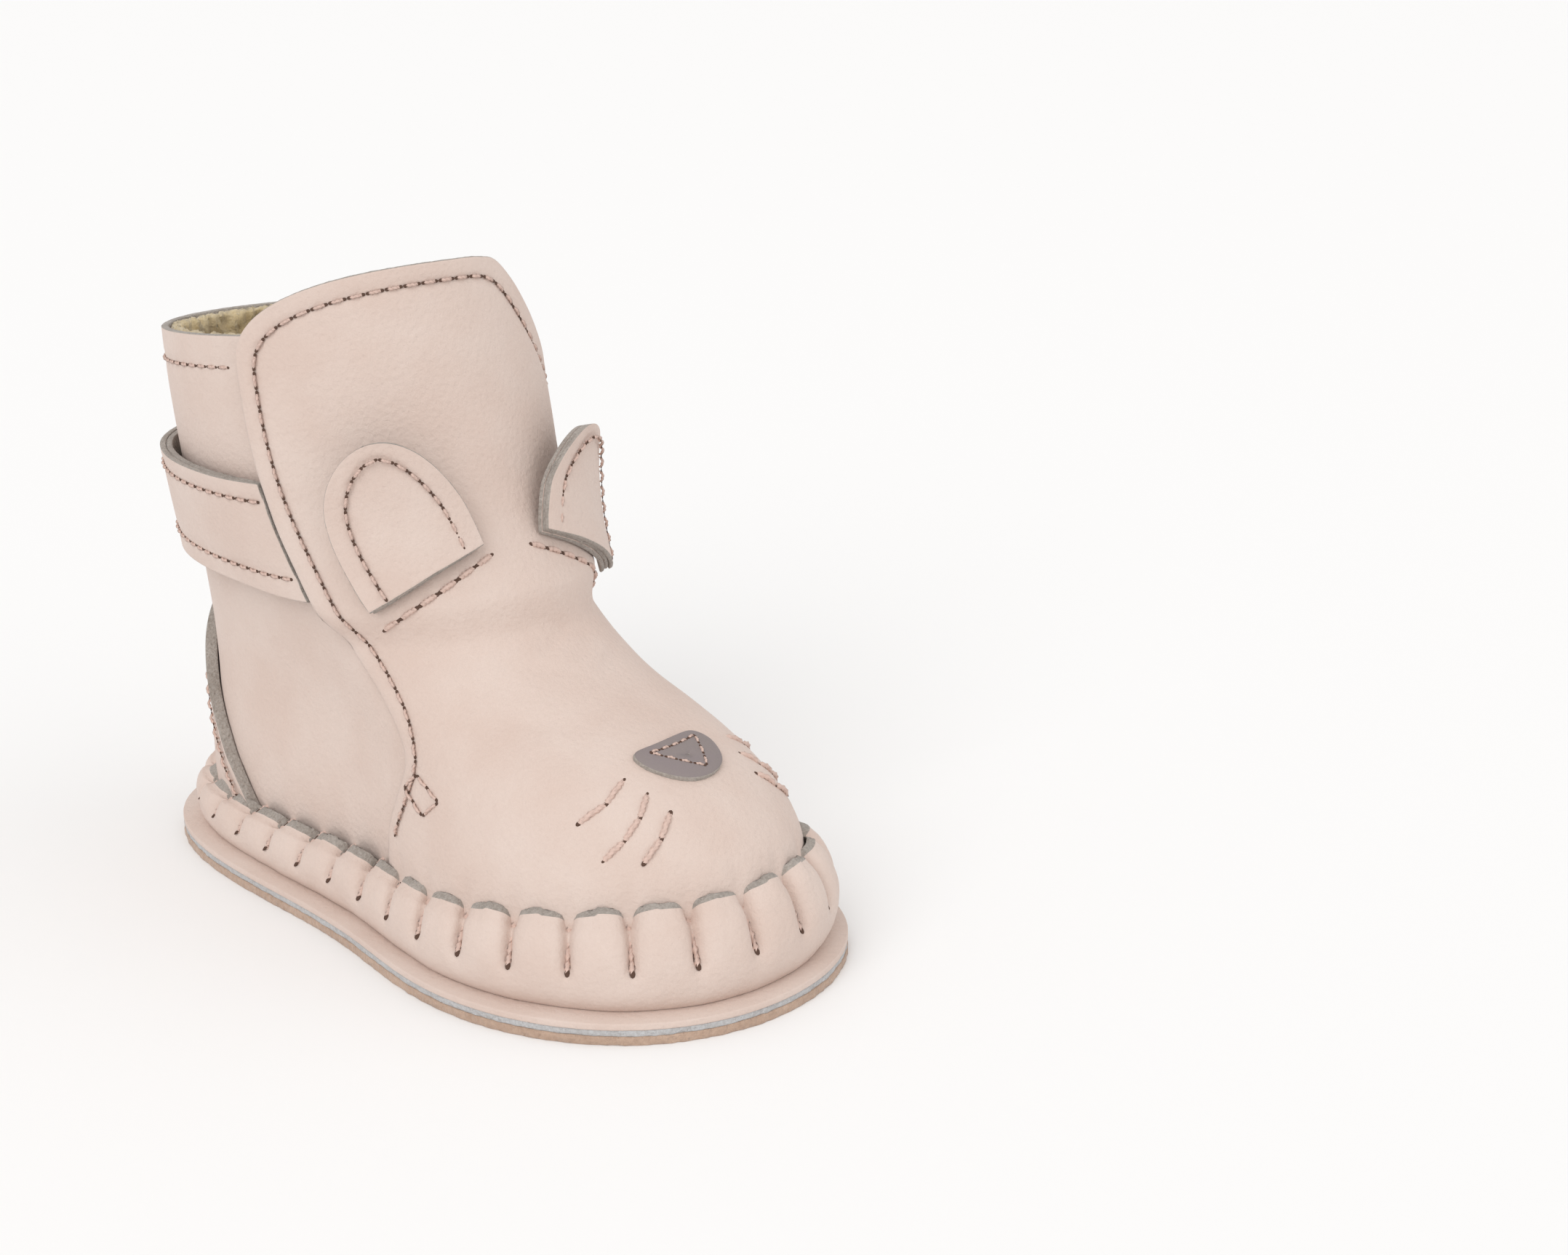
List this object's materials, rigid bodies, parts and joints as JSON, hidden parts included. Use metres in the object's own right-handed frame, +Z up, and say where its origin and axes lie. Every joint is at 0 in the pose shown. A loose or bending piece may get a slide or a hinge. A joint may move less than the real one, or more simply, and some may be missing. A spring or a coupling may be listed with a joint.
{
  "type": "baby bootie",
  "caption": "Soft leather toddler bootie with a gathered moccasin toe, a tall folding tongue with ears and a face, an ankle strap and a pile lining.",
  "frame": {"origin": "middle of the sole on the ground", "axes": "toe towards -Y, heel towards +Y, +Z up; the wearer's right, which is the outer side of this right foot, towards -X"},
  "size_m": [0.0671, 0.138, 0.1057],
  "materials": {
    "nubuck": "dusty pink-beige nubuck, matte with a fine grain",
    "suede": "pink-brown suede with a coarse nap",
    "cut_edge": "grey-white fibrous cut edge of the leather",
    "thread": "twisted pink polyester thread",
    "insole_foam": "thin off-white foam",
    "fleece": "cream curly pile",
    "nose_leather": "smooth taupe-grey leather",
    "closure": "off-white hook-and-loop tape"
  },
  "bodies": {
    "shoe": {"outsole_suede": "suede", "sole_core": "cut_edge", "sole_top_leather": "nubuck", "sole_stitching": "thread", "insole_foam": "insole_foam", "footbed_fleece": "fleece", "pleated_wall": "nubuck", "hand_stitches": "thread", "vamp": "nubuck", "vamp_lining": "fleece", "vamp_seam_stitching": "thread", "bartacks": "thread", "quarter": "nubuck", "quarter_lining": "fleece", "collar_stitching": "thread", "heel_counter": "nubuck", "counter_stitching": "thread", "nose": "nose_leather", "nose_stitching": "thread", "whisker_stitches": "thread", "strap_anchor": "nubuck", "loop_patch": "closure"},
    "tongue": {"tongue": "nubuck", "tongue_lining": "fleece", "tongue_stitching": "thread", "ear_seam_stitches": "thread"},
    "lateral_ear": {"lateral_ear_front": "nubuck", "lateral_ear_core": "cut_edge", "lateral_ear_back": "nubuck", "lateral_ear_stitching": "thread"},
    "medial_ear": {"medial_ear_front": "nubuck", "medial_ear_core": "cut_edge", "medial_ear_back": "nubuck", "medial_ear_stitching": "thread"},
    "strap": {"strap_outer": "nubuck", "strap_liner": "cut_edge", "strap_stitching": "thread"},
    "tab": {"tab_outer": "nubuck", "tab_liner": "cut_edge", "tab_hook": "closure", "tab_stitching": "thread"}
  },
  "joints": [
    {"name": "tongue_fold", "type": "hinge", "parent": "shoe", "child": "tongue", "pos_m": [0, -0.0197, 0.0482], "axis": [1, 0, 0], "range_deg": [0, 40], "stiffness_Nm_per_rad": 0.02},
    {"name": "lateral_ear_flap", "type": "hinge", "parent": "tongue", "child": "lateral_ear", "pos_m": [-0.01585, -0.01055, 0.0592], "axis": [0.811, -0.3628, 0.4589], "range_deg": [0, 45], "stiffness_Nm_per_rad": 0.004},
    {"name": "medial_ear_flap", "type": "hinge", "parent": "tongue", "child": "medial_ear", "pos_m": [0.0154, -0.011, 0.0576], "axis": [0.8073, 0.3079, -0.5035], "range_deg": [0, 45], "stiffness_Nm_per_rad": 0.004},
    {"name": "strap_swing", "type": "hinge", "parent": "shoe", "child": "strap", "pos_m": [-0.0266, 0.0137, 0.0627], "axis": [0, 0, 1], "range_deg": [0, 12]},
    {"name": "tab_peel", "type": "hinge", "parent": "strap", "child": "tab", "pos_m": [0.0162, 0.0594, 0.0624], "axis": [0, 0, 1], "range_deg": [0, 60]}
  ],
  "couplings": [
    {"joint": "tab_peel", "follows": "strap_swing", "ratio": 5}
  ]
}
